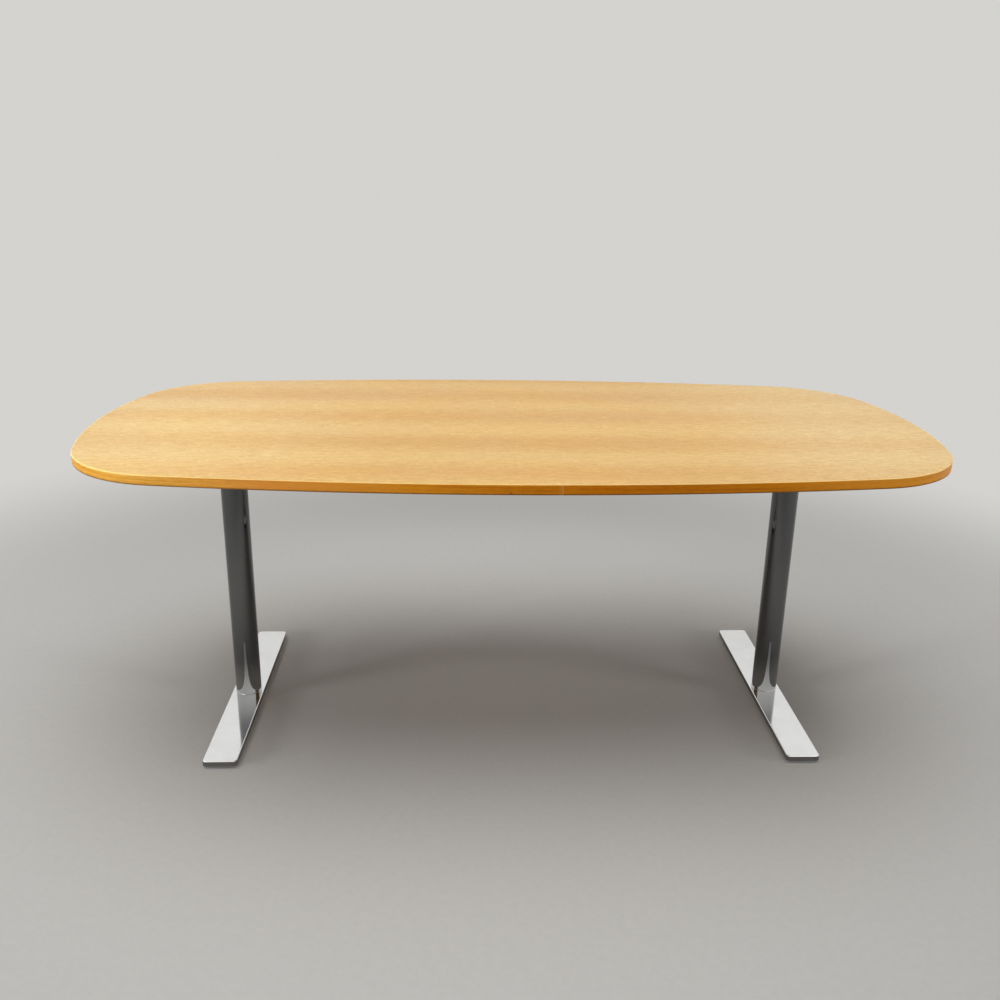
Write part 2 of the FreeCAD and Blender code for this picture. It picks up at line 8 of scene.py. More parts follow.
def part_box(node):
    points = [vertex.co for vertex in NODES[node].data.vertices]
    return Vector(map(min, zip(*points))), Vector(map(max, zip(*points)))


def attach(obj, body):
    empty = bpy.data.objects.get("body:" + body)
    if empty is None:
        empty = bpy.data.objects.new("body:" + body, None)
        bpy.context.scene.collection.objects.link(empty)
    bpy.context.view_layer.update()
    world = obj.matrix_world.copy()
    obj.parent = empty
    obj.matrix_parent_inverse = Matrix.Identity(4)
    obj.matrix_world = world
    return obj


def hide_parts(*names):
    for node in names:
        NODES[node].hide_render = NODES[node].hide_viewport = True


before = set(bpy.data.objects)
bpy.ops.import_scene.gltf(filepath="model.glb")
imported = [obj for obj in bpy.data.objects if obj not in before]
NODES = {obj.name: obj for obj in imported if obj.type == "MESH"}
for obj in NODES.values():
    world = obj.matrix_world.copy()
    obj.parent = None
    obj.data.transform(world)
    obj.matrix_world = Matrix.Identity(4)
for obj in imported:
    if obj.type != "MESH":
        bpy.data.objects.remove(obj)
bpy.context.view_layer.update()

# Oval meeting table in metres: X runs along it, Y across it, Z up. Front is -Y, left is -X.

SIDES = {"left": -1, "right": 1}
ENDS = {"front": -1, "rear": 1}
TAU = 2 * math.pi
SEED = 7

rng = random.Random(SEED)


# ---------------------------------------------------------------- camera

CAMERA_PLACE = Vector((-0.1223, -2.3514, 1.3449))
CAMERA_YAW = -0.0518
CAMERA_PITCH = 0.3287
CAMERA_ROLL = -0.0202
CAMERA_LENS = 35.666
CAMERA_SENSOR = 36
CAMERA_SHIFT = (-0.01323, 0.00282)


def make_camera():
    """Stand the camera where the photograph was taken."""
    yaw, pitch, roll = CAMERA_YAW, CAMERA_PITCH, CAMERA_ROLL
    flat = math.cos(pitch)
    ahead = Vector((-math.sin(yaw) * flat, math.cos(yaw) * flat, -math.sin(pitch)))
    level = Vector((math.cos(yaw), math.sin(yaw), 0))
    down = ahead.cross(level)
    right = level * math.cos(roll) + down * math.sin(roll)
    below = down * math.cos(roll) - level * math.sin(roll)
    turn = Matrix((right, -below, -ahead)).transposed().to_4x4()
    data = bpy.data.cameras.new("camera")
    data.sensor_width = CAMERA_SENSOR
    data.lens = CAMERA_LENS
    data.shift_x, data.shift_y = CAMERA_SHIFT
    camera = bpy.data.objects.new("camera", data)
    camera.matrix_world = Matrix.Translation(CAMERA_PLACE) @ turn
    bpy.context.scene.collection.objects.link(camera)
    bpy.context.scene.camera = camera


make_camera()
bpy.context.scene.view_settings.view_transform = "Standard"


# ---------------------------------------------------------------- materials

class Net:
    """Builds a node tree. Values are constants or other nodes' outputs."""

    def __init__(self, owner):
        owner.use_nodes = True
        self.tree = owner.node_tree
        self.tree.nodes.clear()

    def node(self, kind, inputs=(), **settings):
        made = self.tree.nodes.new(kind)
        for name, value in settings.items():
            setattr(made, name, value)
        for key, value in dict(inputs).items():
            if isinstance(value, bpy.types.NodeSocket):
                self.tree.links.new(value, made.inputs[key])
            else:
                made.inputs[key].default_value = value
        return made

    def place(self):
        """Where a point is, in the object's own coordinates, which are the table's."""
        return self.node("ShaderNodeTexCoord").outputs["Object"]

    def strip(self):
        """Where a point is along and across a strip."""
        return self.node("ShaderNodeUVMap", uv_map="strip").outputs[0]

    def split(self, vector):
        return self.node("ShaderNodeSeparateXYZ", {0: vector}).outputs

    def stretch(self, vector, factors):
        made = self.node("ShaderNodeVectorMath", {0: vector, 1: factors}, operation="MULTIPLY")
        return made.outputs[0]

    def math(self, operation, a, b=0.0, c=0.0):
        made = self.node("ShaderNodeMath", {0: a, 1: b, 2: c}, operation=operation)
        return made.outputs[0]

    def times(self, a, b):
        return self.math("MULTIPLY", a, b)

    def mixture(self, start, parts):
        """Add to a value its parts, each with its share."""
        for part, share in parts:
            start = self.math("MULTIPLY_ADD", part, share, start)
        return start

    def noise(self, vector, scale=1.0, detail=2.0, rough=0.5, bend=0.0):
        inputs = {
            "Vector": vector, "Scale": scale, "Detail": detail, "Roughness": rough,
            "Distortion": bend,
        }
        return self.node("ShaderNodeTexNoise", inputs).outputs[0]

    def grain(self, vector, often, detail=2.0, rough=0.5, bend=0.0):
        """Noise that repeats so often in a metre along each axis."""
        return self.noise(self.stretch(vector, often), 1.0, detail, rough, bend)

    def cells(self, vector, scale):
        return self.node("ShaderNodeTexVoronoi", {"Vector": vector, "Scale": scale})

    def span(self, value, low, high, to_low=0.0, to_high=1.0):
        """Rescale a value smoothly, held at both ends."""
        inputs = {
            "Value": value, "From Min": low, "From Max": high, "To Min": to_low, "To Max": to_high,
        }
        made = self.node("ShaderNodeMapRange", inputs, interpolation_type="SMOOTHSTEP")
        return made.outputs[0]

    def ramp(self, value, stops):
        made = self.node("ShaderNodeValToRGB", {0: value})
        points = made.color_ramp.elements
        while len(points) < len(stops):
            points.new(1.0)
        for point, (where, colour) in zip(points, stops):
            point.position = where
            point.color = (*colour, 1)
        return made.outputs[0]

    def blend(self, amount, a, b, kind="MIX"):
        made = self.node("ShaderNodeMix", data_type="RGBA", blend_type=kind)
        for key, value in ((0, amount), (6, a), (7, b)):
            if isinstance(value, bpy.types.NodeSocket):
                self.tree.links.new(value, made.inputs[key])
            else:
                made.inputs[key].default_value = (*value, 1) if key else value
        return made.outputs[2]

    def bump(self, height, strength, distance, normal=None):
        inputs = {"Height": height, "Strength": strength, "Distance": distance}
        if normal is not None:
            inputs["Normal"] = normal
        return self.node("ShaderNodeBump", inputs).outputs[0]

    def surface(self, **inputs):
        names = {key.replace("_", " "): value for key, value in inputs.items()}
        for key, value in names.items():
            if isinstance(value, tuple) and len(value) == 3:
                names[key] = (*value, 1)
        shader = self.node("ShaderNodeBsdfPrincipled", names)
        self.node("ShaderNodeOutputMaterial", {0: shader.outputs[0]})


def new_material(name):
    material = bpy.data.materials.new(name)
    return material, Net(material)


WHITE = (1.0, 1.0, 1.0)

# Veneer: tones of the wood, and tones that multiply it towards the top's edges: painted light at
# both ends, a painted sheen to the right, painted light along the front, and a darker rear left
# corner
VENEER_LIGHT = (0.810, 0.545, 0.196)
VENEER_DARK = (0.706, 0.404, 0.114)
VENEER_SPECKLE = (0.76, 0.64, 0.42)
VENEER_FLECK = (0.40, 0.20, 0.065)
VENEER_PAINTED_PALE_ENDS = (1.19, 1.33, 1.71)
VENEER_PAINTED_SHEEN_RIGHT = (1.0, 1.035, 1.16)
VENEER_PAINTED_LIGHT_FRONT = (1.07, 1.07, 1.0)
VENEER_BACK = (0.94, 0.90, 0.91)

# Veneer: where along X or Y a change of tone starts and is complete, the painted light and sheen
# among them
BANDS_FADE_LEFT = (-0.30, -0.75)
BANDS_FADE_RIGHT = (0.20, 0.75)
PAINTED_PALE_LEFT = (-0.20, -0.90)
PAINTED_PALE_RIGHT = (0.30, 0.90)
PAINTED_SHEEN_RIGHT = (0.20, 0.70)
PAINTED_LIGHT_FRONT_ZONE = (-0.28, -0.44)
PAINTED_LIGHT_FRONT_ZONE_ALONG = (0.60, -0.10)
BACK_ZONE = (0.02, 0.30)
BACK_ZONE_ALONG = (-0.30, -0.65)

# Veneer: its leaves' width, a light line and how far it wanders, in metres
LEAF_WIDTH = 0.235
LEAF_LIGHT_LINE = -0.065
LEAF_WANDER = 0.05

# Veneer: how often each layer of grain repeats in a metre
DRIFT_OFTEN = (0.9, 2.0, 0)
FADING_OFTEN = (0.8, 1.5, 0)
SHEEN_OFTEN = (3, 5, 0)
STREAK_OFTEN = (1.1, 48, 0)
PATCH_OFTEN = (9, 30, 0)
MOTTLE_OFTEN = (25, 115, 0)
GRIT_OFTEN = (90, 270, 0)
FIBRE_OFTEN = (14, 420, 0)
DASH_OFTEN = (95, 760, 0)
DOT_OFTEN = (130, 360, 0)


def leaf_bands(net, place):
    """Soft light and dark bands along X, which wander and fade towards the ends."""
    x, y, _ = net.split(place)
    drift = net.math("SUBTRACT", net.grain(place, DRIFT_OFTEN, detail=1.0), 0.5)
    across = net.math("ADD", y, net.times(drift, LEAF_WANDER))
    turn = net.times(net.math("SUBTRACT", across, LEAF_LIGHT_LINE), TAU / LEAF_WIDTH)
    band = net.math("MULTIPLY_ADD", net.math("COSINE", turn), 0.5, 0.5)
    strength = net.span(net.grain(place, FADING_OFTEN, detail=1.0), 0.35, 0.65, 0.42, 0.68)
    strength = net.times(strength, net.span(x, *BANDS_FADE_RIGHT, 1.0, 0.48))
    strength = net.times(strength, net.span(x, *BANDS_FADE_LEFT, 1.0, 0.75))
    return net.times(net.math("SUBTRACT", band, 0.5), strength)


def painted_light_and_tone_by_place(net, place, wood):
    """Painted light at the pale ends, a painted sheen to the right, a brighter front that is
    painted light, and a duller rear left corner.
    """
    x, y, _ = net.split(place)
    # Paler ends: painted light from the sides; then a painted sheen towards the right
    end = net.math("MAXIMUM", net.span(x, *PAINTED_PALE_LEFT), net.span(x, *PAINTED_PALE_RIGHT, 0.0, 0.78))
    wood = net.blend(end, wood, VENEER_PAINTED_PALE_ENDS, "MULTIPLY")
    wood = net.blend(net.span(x, *PAINTED_SHEEN_RIGHT), wood, VENEER_PAINTED_SHEEN_RIGHT, "MULTIPLY")
    # Brighter front: painted light
    front = net.times(net.span(y, *PAINTED_LIGHT_FRONT_ZONE), net.span(x, *PAINTED_LIGHT_FRONT_ZONE_ALONG, 0.2, 1.0))
    wood = net.blend(front, wood, VENEER_PAINTED_LIGHT_FRONT, "MULTIPLY")
    back = net.times(net.span(y, *BACK_ZONE), net.span(x, *BACK_ZONE_ALONG))
    return net.blend(back, wood, VENEER_BACK, "MULTIPLY")


def veneer_material():
    """Pale wood veneer in leaves along X: bands, streaks, short flecks, satin lacquer."""
    material, net = new_material("pale_veneer")
    place = net.place()
    streak = net.grain(place, STREAK_OFTEN, detail=3.0, rough=0.55, bend=0.15)
    patch = net.grain(place, PATCH_OFTEN)
    mottle = net.grain(place, MOTTLE_OFTEN, detail=3.0, rough=0.6)
    grit = net.grain(place, GRIT_OFTEN, rough=0.6)
    fibre = net.grain(place, FIBRE_OFTEN, detail=3.0, rough=0.6)
    tone = net.mixture(leaf_bands(net, place), (
        (streak, 0.30), (patch, 0.22), (mottle, 0.52), (grit, 0.70), (fibre, 0.22),
    ))
    wood = net.blend(net.span(tone, 0.48, 1.48), VENEER_DARK, VENEER_LIGHT)
    speckle = net.math("MULTIPLY_ADD", mottle, 0.75, net.times(grit, 0.65))
    shade = net.ramp(speckle, [(0.40, VENEER_SPECKLE), (0.94, WHITE)])
    wood = net.blend(0.90, wood, shade, "MULTIPLY")
    dash = net.span(net.grain(place, DASH_OFTEN, detail=1.0), 0.645, 0.74, 0.0, 0.42)
    dot = net.span(net.grain(place, DOT_OFTEN, detail=1.0), 0.66, 0.76, 0.0, 0.34)
    fleck = net.math("MAXIMUM", dash, dot)
    wood = net.blend(fleck, wood, VENEER_FLECK)
    pore = net.math("MULTIPLY_ADD", fleck, -0.8, fibre)
    sheen = net.grain(place, SHEEN_OFTEN, detail=3.0)
    net.surface(
        Base_Color=painted_light_and_tone_by_place(net, place, wood),
        Roughness=net.span(sheen, 0.3, 0.7, 0.34, 0.44), IOR=1.5, Specular_IOR_Level=0.30,
        Coat_Weight=0.10, Coat_Roughness=0.22, Normal=net.bump(pore, 0.12, 0.0002),
    )
    return material


# Edge strip: its length round the top, its tone from left to right, which is the wood's colour
# with painted light brightening both ends, and its marks
STRIP_LENGTH = 5.2828
STRIP_TONE_AND_PAINTED_LIGHT = [
    (0.0, (0.70, 0.325, 0.022)), (0.02, (0.86, 0.465, 0.080)), (0.14, (0.71, 0.29, 0.048)),
    (0.34, (0.66, 0.255, 0.011)), (0.60, (0.55, 0.177, 0.001)), (0.84, (0.565, 0.194, 0.003)),
    (1.0, (0.76, 0.315, 0.032)),
]
STRIP_DEPTH = [(0.42, (0.72, 0.60, 0.44)), (0.54, (0.93, 0.90, 0.84)), (0.66, WHITE)]
# Upper arris: a painted highlight, wider and stronger towards the left corner
ARRIS_PAINTED_HIGHLIGHT = (0.97, 0.70, 0.26)
ARRIS_HEIGHTS = (0.0203, 0.0214)
ARRIS_WANDER = 0.0012
CORNER_HIGHLIGHT_WIDENING = 0.0022
CORNER_ZONE = (-0.55, -0.92)
ARRIS_WOBBLE_OFTEN = (18, 90, 0)
STRIP_LONG_OFTEN = (3.0, 170, 0)
STRIP_FINE_OFTEN = (26, 1500, 0)
STRIP_MOTTLE_OFTEN = (60, 260, 0)
STRIP_PATCH_OFTEN = (2.4, 9, 0)
# A darker line along the bottom edge
BOTTOM_EDGE_DARK = (0.10, 0.045, 0.012)
BOTTOM_EDGE_HEIGHTS = (0.0010, 0.0044)
JOINT_WOOD = (0.80, 0.50, 0.16)
JOINT_REACH = (0.0020, 0.0060)
# Painted shade in a nick of the lower edge near the butt joint
NICK_PAINTED_SHADE = (0.12, 0.050, 0.010)
NICK_SHADE_BACK = 0.100
NICK_SHADE_WIDTH = 0.0036
NICK_SHADE_HEIGHT = 0.0060


def strip_marks_and_painted_light(net, strip, x, wood):
    """A painted highlight along the upper arris, a dark line along the bottom edge, a pale butt
    joint and painted shade in one nick near it.
    """
    along, up, _ = net.split(strip)
    arris_wobble = net.math("SUBTRACT", net.grain(strip, ARRIS_WOBBLE_OFTEN, detail=3.0), 0.5)
    upper = net.math("ADD", up, net.times(arris_wobble, ARRIS_WANDER))
    # Painted highlight along the upper arris, wider and stronger towards the left corner
    corner = net.span(x, *CORNER_ZONE)
    floor_wear_and_arris_highlight = net.math("MULTIPLY_ADD", corner, CORNER_HIGHLIGHT_WIDENING, upper)
    pale = net.times(net.span(floor_wear_and_arris_highlight, *ARRIS_HEIGHTS), net.math("MULTIPLY_ADD", corner, 0.25, 0.70))
    wood = net.blend(pale, wood, ARRIS_PAINTED_HIGHLIGHT)
    # A darker line along the bottom edge
    wood = net.blend(net.span(upper, *BOTTOM_EDGE_HEIGHTS, 0.80, 0.0), wood, BOTTOM_EDGE_DARK)
    ends = net.math("MINIMUM", along, net.math("SUBTRACT", STRIP_LENGTH, along))
    wood = net.blend(net.span(ends, *JOINT_REACH, 0.15, 0.0), wood, JOINT_WOOD)
    # Painted shade in the nick near the joint
    past = net.math("SUBTRACT", along, STRIP_LENGTH - NICK_SHADE_BACK)
    beside = net.math("DIVIDE", past, NICK_SHADE_WIDTH)
    above = net.math("DIVIDE", up, NICK_SHADE_HEIGHT)
    apart = net.math("ADD", net.times(beside, beside), net.times(above, above))
    return net.blend(net.span(apart, 0.2, 1.6, 0.70, 0.0), wood, NICK_PAINTED_SHADE)


def lipping_material():
    """Solid wood strip: orange brown with long streaks."""
    material, net = new_material("wood_edge_strip")
    strip = net.strip()
    long_streak = net.grain(strip, STRIP_LONG_OFTEN, bend=0.3)
    fine_streak = net.grain(strip, STRIP_FINE_OFTEN, rough=0.6)
    mottle = net.grain(strip, STRIP_MOTTLE_OFTEN, rough=0.6)
    patch = net.grain(strip, STRIP_PATCH_OFTEN)
    tone = net.mixture(net.times(long_streak, 0.42), (
        (fine_streak, 0.22), (mottle, 0.22), (patch, 0.22),
    ))
    x = net.split(net.place())[0]
    # The wood's colour along X with painted light: brighter towards both ends, darkest right of
    # the middle
    tone_and_painted_light = net.ramp(net.span(x, -1.0, 1.0), STRIP_TONE_AND_PAINTED_LIGHT)
    wood = net.blend(1.0, tone_and_painted_light, net.ramp(tone, STRIP_DEPTH), "MULTIPLY")
    net.surface(
        Base_Color=strip_marks_and_painted_light(net, strip, x, wood),
        Roughness=net.span(long_streak, 0.3, 0.7, 0.36, 0.46), IOR=1.5, Specular_IOR_Level=0.14,
        Normal=net.bump(fine_streak, 0.12, 0.0002),
    )
    return material


# Plate. The columns mirror a floor that is far paler than the photograph's dark carpet,
# so their plate is written darker, a painted dark reflection; only their lowest part mirrors the
# foot brightly, a painted reflection, and their upper part is darker still, painted shade under
# the top.
COLUMN_PLATE = (0.155, 0.157, 0.160)
COLUMN_PAINTED_REFLECTION_LOW = (0.42, 0.42, 0.42)
COLUMN_PAINTED_SHADE_HIGH = (0.100, 0.101, 0.103)
BAR_PLATE = (0.82, 0.82, 0.82)
# Upright faces of the feet: a painted dark reflection
BAR_PLATE_PAINTED_DARK_SIDE = (0.26, 0.258, 0.255)
SMEAR_TONE = (0.86, 0.86, 0.86)
COLUMN_REFLECTION_ZONE = (0.025, 0.13)
COLUMN_SHADE_ZONE = (0.25, 0.68)
BAR_LIE = (0.25, 0.75)
COLUMN_DRAWN = (900, 900, 4)
BAR_DRAWN = (900, 12, 900)
WAVE_SHARE = 0.06


def column_tint(net, place):
    """Tone of a column's plate: brighter at its foot, a painted reflection of the foot, and darker
    towards the top, painted shade under the table top.
    """
    height = net.split(place)[2]
    lower = net.blend(net.span(height, *COLUMN_REFLECTION_ZONE), COLUMN_PAINTED_REFLECTION_LOW, COLUMN_PLATE)
    return net.blend(net.span(height, *COLUMN_SHADE_ZONE), lower, COLUMN_PAINTED_SHADE_HIGH)


def bar_tint(net, _):
    """Tone of a foot's plate: darker on upright faces, a painted dark reflection."""
    normal = net.node("ShaderNodeNewGeometry").outputs["Normal"]
    lie = net.math("ABSOLUTE", net.split(normal)[2])
    return net.blend(net.span(lie, *BAR_LIE), BAR_PLATE_PAINTED_DARK_SIDE, BAR_PLATE)


def chrome_material(name, tint_at, low, high, drawn):
    """Chromium plate: mirror polish with faint smears and hair scratches."""
    material, net = new_material(name)
    place = net.place()
    smear = net.noise(place, scale=9.0, detail=4.0, rough=0.6, bend=0.6)
    hair = net.grain(place, drawn, rough=0.6)
    dull = net.math("MULTIPLY_ADD", hair, 0.25, smear)
    smeared = net.span(smear, 0.4, 0.75, 0.0, 0.5)
    wave = net.grain(place, tuple(f * WAVE_SHARE for f in drawn), detail=1.0)
    net.surface(
        Base_Color=net.blend(smeared, tint_at(net, place), SMEAR_TONE, "MULTIPLY"), Metallic=1.0,
        Roughness=net.span(dull, 0.42, 0.86, low, high),
        Normal=net.bump(wave, 0.05, 0.0006, net.bump(hair, 0.02, 0.0001)),
    )
    return material


COAT_DARK = (0.018, 0.018, 0.019)
COAT_LIGHT = (0.033, 0.033, 0.034)
COAT_SCUFF = (0.13, 0.13, 0.128)


def coated_material():
    """Black powder coat on steel: fine orange peel, cloudy tone and a few grey scuffs."""
    material, net = new_material("black_powder_coat")
    place = net.place()
    peel = net.noise(place, scale=420.0, detail=3.0, rough=0.55)
    cloud = net.noise(place, scale=14.0, detail=3.0)
    colour = net.blend(net.span(cloud, 0.35, 0.7), COAT_DARK, COAT_LIGHT)
    rub = net.grain(place, (12, 60, 160), detail=3.0, rough=0.6, bend=0.4)
    scuff = net.span(net.math("MULTIPLY_ADD", cloud, 0.35, rub), 0.78, 0.94)
    gloss = net.math("MULTIPLY_ADD", scuff, 0.12, net.span(peel, 0.3, 0.7, 0.42, 0.56))
    net.surface(
        Base_Color=net.blend(net.times(scuff, 0.55), colour, COAT_SCUFF),
        Roughness=gloss, IOR=1.5, Normal=net.bump(peel, 0.25, 0.0004),
    )
    return material


ZINC_TONES = [(0.3, (0.42, 0.43, 0.45)), (0.55, (0.58, 0.59, 0.60)), (0.75, (0.64, 0.63, 0.58))]


def zinc_material():
    """Zinc plated steel: bluish grey with yellowish and duller patches."""
    material, net = new_material("zinc_plate")
    place = net.place()
    patch = net.noise(place, scale=90.0, detail=3.0, rough=0.6)
    grain = net.noise(place, scale=900.0, rough=0.6)
    dull = net.math("MULTIPLY_ADD", grain, 0.4, patch)
    net.surface(
        Base_Color=net.ramp(patch, ZINC_TONES), Metallic=1.0,
        Roughness=net.span(dull, 0.4, 1.0, 0.24, 0.46), Normal=net.bump(grain, 0.15, 0.0001),
    )
    return material


NYLON_DARK = (0.040, 0.040, 0.042)
NYLON_LIGHT = (0.075, 0.074, 0.073)


def nylon_material():
    """Dark grey moulded nylon with a fine spark texture and a cloudy tone."""
    material, net = new_material("grey_nylon")
    place = net.place()
    spark = net.noise(place, scale=1600.0, rough=0.6)
    cloud = net.noise(place, scale=160.0, detail=3.0)
    net.surface(
        Base_Color=net.blend(net.span(cloud, 0.4, 0.7), NYLON_DARK, NYLON_LIGHT),
        Roughness=net.span(spark, 0.3, 0.7, 0.45, 0.62), IOR=1.53,
        Normal=net.bump(spark, 0.2, 0.0002),
    )
    return material


BACKING_TONES = [
    (0.36, (0.40, 0.235, 0.105)), (0.55, (0.52, 0.335, 0.165)), (0.72, (0.60, 0.42, 0.225)),
]


def backing_material():
    """Plain balancing veneer below the board, left without lacquer."""
    material, net = new_material("backing_wood")
    place = net.place()
    streak = net.grain(place, (1.5, 36, 0), detail=3.0, rough=0.6, bend=0.25)
    fibre = net.grain(place, (18, 520, 0), detail=3.0, rough=0.6)
    tone = net.math("MULTIPLY_ADD", fibre, 0.45, net.times(streak, 0.6))
    net.surface(
        Base_Color=net.ramp(tone, BACKING_TONES), Roughness=net.span(fibre, 0.3, 0.7, 0.6, 0.75),
        IOR=1.45, Normal=net.bump(fibre, 0.2, 0.0003),
    )
    return material


BOARD_TONES = [(0.2, (0.28, 0.17, 0.08)), (0.5, (0.45, 0.30, 0.16)), (0.8, (0.58, 0.43, 0.26))]


def board_material():
    """Particleboard: pressed chips of several browns."""
    material, net = new_material("particleboard")
    place = net.place()
    chips = net.cells(net.stretch(place, (1.0, 1.6, 2.4)), 210.0)
    chip_tone = net.split(chips.outputs["Color"])[0]
    dust = net.noise(place, scale=900.0)
    tone = net.math("MULTIPLY_ADD", dust, 0.35, net.times(chip_tone, 0.65))
    net.surface(
        Base_Color=net.ramp(tone, BOARD_TONES), Roughness=net.span(dust, 0.3, 0.7, 0.75, 0.9),
        Normal=net.bump(chip_tone, 0.4, 0.0004),
    )
    return material


MATERIALS = {
    "wood_veneer": veneer_material(),
    "wood_lipping": lipping_material(),
    "backing_wood": backing_material(),
    "particleboard": board_material(),
    "chrome_tube": chrome_material("chrome_column", column_tint, 0.03, 0.07, COLUMN_DRAWN),
    "chrome_bar": chrome_material("chrome_foot", bar_tint, 0.04, 0.10, BAR_DRAWN),
    "coated_steel": coated_material(),
    "zinc_steel": zinc_material(),
    "glide_plastic": nylon_material(),
}


def dress_nodes():
    """Give each carried-over node the material of its slot."""
    for node in NODES.values():
        slot_name = node.data.materials[0].name
        node.data.materials[0] = MATERIALS[slot_name]


dress_nodes()


# ---------------------------------------------------------------- edge strip

def add_piece(name, verts, faces, slot_name, body="table", uvs=None):
    mesh = bpy.data.meshes.new(name)
    mesh.from_pydata(verts, [], faces)
    mesh.validate()
    if uvs:
        layer = mesh.uv_layers.new(name="strip")
        for corner, uv in zip(layer.data, uvs):
            corner.uv = uv
    mesh.polygons.foreach_set("use_smooth", [True] * len(mesh.polygons))
    mesh.materials.append(MATERIALS[slot_name])
    piece = bpy.data.objects.new(name, mesh)
    bpy.context.scene.collection.objects.link(piece)
    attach(piece, body)
    return piece


SIDE_BOW = 5.6
END_BOW = 1.04
CORNER_RADIUS = 0.258
STATION = 0.006


def outline_points(half_length, half_width, spacing):
    """Points and outward normals round the edge, anticlockwise from the middle of the front."""
    side_centre = Vector((0, SIDE_BOW - half_width))
    end_centre = Vector((half_length - END_BOW, 0))
    side_reach = SIDE_BOW - CORNER_RADIUS
    end_reach = END_BOW - CORNER_RADIUS
    base = end_centre - side_centre
    along = (side_reach ** 2 - end_reach ** 2 + base.length ** 2) / (2 * base.length)
    across = math.sqrt(side_reach ** 2 - along ** 2)
    unit = base.normalized()
    normal = Vector((-unit.y, unit.x))
    if normal.x < 0:
        normal = -normal
    corner = side_centre + unit * along + normal * across
    side_angle = math.atan2(*reversed(corner - side_centre))
    end_angle = math.atan2(*reversed(corner - end_centre))
    quarter = [
        (side_centre, SIDE_BOW, -math.pi / 2, side_angle),
        (corner, CORNER_RADIUS, side_angle, end_angle),
        (end_centre, END_BOW, end_angle, 0.0),
    ]
    first = []
    for centre, radius, start, end in quarter:
        count = max(2, round(radius * abs(end - start) / spacing))
        for i in range(count):
            angle = start + (end - start) * (i + 0.5) / count
            out = Vector((math.cos(angle), math.sin(angle)))
            first.append((centre + out * radius, out))
    second = [(Vector((p.x, -p.y)), Vector((n.x, -n.y))) for p, n in reversed(first)]
    half = first + second
    other = [(-p, -n) for p, n in half]
    return half + other


STRIP_THICKNESS = 0.003
STRIP_ROUND = 0.0015
STRIP_ROUND_STEPS = 6
STRIP_FACE_SHARES = (0.75, 0.5, 0.25)
STRIP_SHARP_EDGE = math.radians(50)
INNER_FACE_DROP = 0.02
JOINT_X = 0.07
JOINT_GAP = 0.00008
JOINT_BEVEL = 0.0002

# Nicks along the front: place, depth, width, and 1 on the upper edge or -1 on the lower one
NICKS = [
    (-0.68, 0.0005, 0.003, 1), (-0.554, 0.0004, 0.0025, 1),
    (-0.03, 0.0006, 0.003, -1), (0.41, 0.0003, 0.002, 1),
]
NICK_HEIGHT = 0.003


def strip_section(height):
    """Inset, height and unrolled height of the section, over the outside from top to bottom."""
    section = [(STRIP_THICKNESS, height, height + STRIP_THICKNESS - STRIP_ROUND)]
    angles = [math.pi / 2 * i / STRIP_ROUND_STEPS for i in range(STRIP_ROUND_STEPS + 1)]
    for a in angles:
        z = height - STRIP_ROUND * (1 - math.cos(a))
        section.append((STRIP_ROUND * (1 - math.sin(a)), z, z))
    for share in STRIP_FACE_SHARES:
        z = STRIP_ROUND + (height - 2 * STRIP_ROUND) * share
        section.append((0.0, z, z))
    for a in angles:
        z = STRIP_ROUND * (1 - math.sin(a))
        section.append((STRIP_ROUND * (1 - math.cos(a)), z, z))
    section.append((STRIP_THICKNESS, 0.0, -STRIP_ROUND))
    return section


def strip_stations(half_length, half_width):
    """Stations round the top from one end of the strip to the other, with bevelled ends."""
    points = outline_points(half_length, half_width, STATION)
    joint = Vector((JOINT_X, -half_width))
    start = min(range(len(points)), key=lambda i: (points[i][0] - joint).length)
    points = points[start:] + points[:start]
    first, out = points[0]
    back = (points[-1][0] - first).normalized()
    points.insert(1, (first - back * JOINT_BEVEL, out))
    points.append((first + back * (JOINT_GAP + JOINT_BEVEL), out))
    points.append((first + back * JOINT_GAP, out))
    return points


def nick_depth(point, z, height):
    """How deep the nicks reach at a point of the front."""
    depth = 0.0
    if point.y < 0:
        for place, deep, wide, edge in NICKS:
            reach = abs(point.x - place) / wide
            near = abs(z - (height if edge > 0 else 0)) / NICK_HEIGHT
            depth += deep * math.exp(-reach ** 2) * math.exp(-near ** 2)
    return depth


def make_lipping():
    """The wood strip round the edge, one length bent round and butted at the front."""
    low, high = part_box("edge_lipping")
    height = high.z - low.z
    section = strip_section(height)
    points = strip_stations(high.x, high.y)
    final = len(points) - 1
    verts, runs = [], []
    run = 0.0
    for i, (point, out) in enumerate(points):
        if i:
            run += (point - points[i - 1][0]).length
        runs.append(run)
        for inset, z, _ in section:
            depth = inset + nick_depth(point, z, height)
            if i in (0, final):
                depth += JOINT_BEVEL / 2
            place = point - out * min(depth, STRIP_THICKNESS)
            verts.append((place.x, place.y, low.z + z))
    n = len(section)
    unrolled = [v for _, _, v in section]
    faces, uvs = [], []
    for i in range(final):
        a, b = i * n, (i + 1) * n
        for k in range(n):
            m = (k + 1) % n
            faces.append((a + k, a + m, b + m, b + k))
            v0 = unrolled[k]
            v1 = unrolled[m] if m else v0 - INNER_FACE_DROP
            uvs += [(runs[i], v0), (runs[i], v1), (runs[i + 1], v1), (runs[i + 1], v0)]
    faces.append(tuple(reversed(range(n))))
    uvs += [(0.0, v) for v in reversed(unrolled)]
    faces.append(tuple(final * n + k for k in range(n)))
    uvs += [(run, v) for v in unrolled]
    piece = add_piece("lipping_strip", verts, faces, "wood_lipping", uvs=uvs)
    piece.data.set_sharp_from_angle(angle=STRIP_SHARP_EDGE)
    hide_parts("edge_lipping")


make_lipping()


# ---------------------------------------------------------------- turned bodies

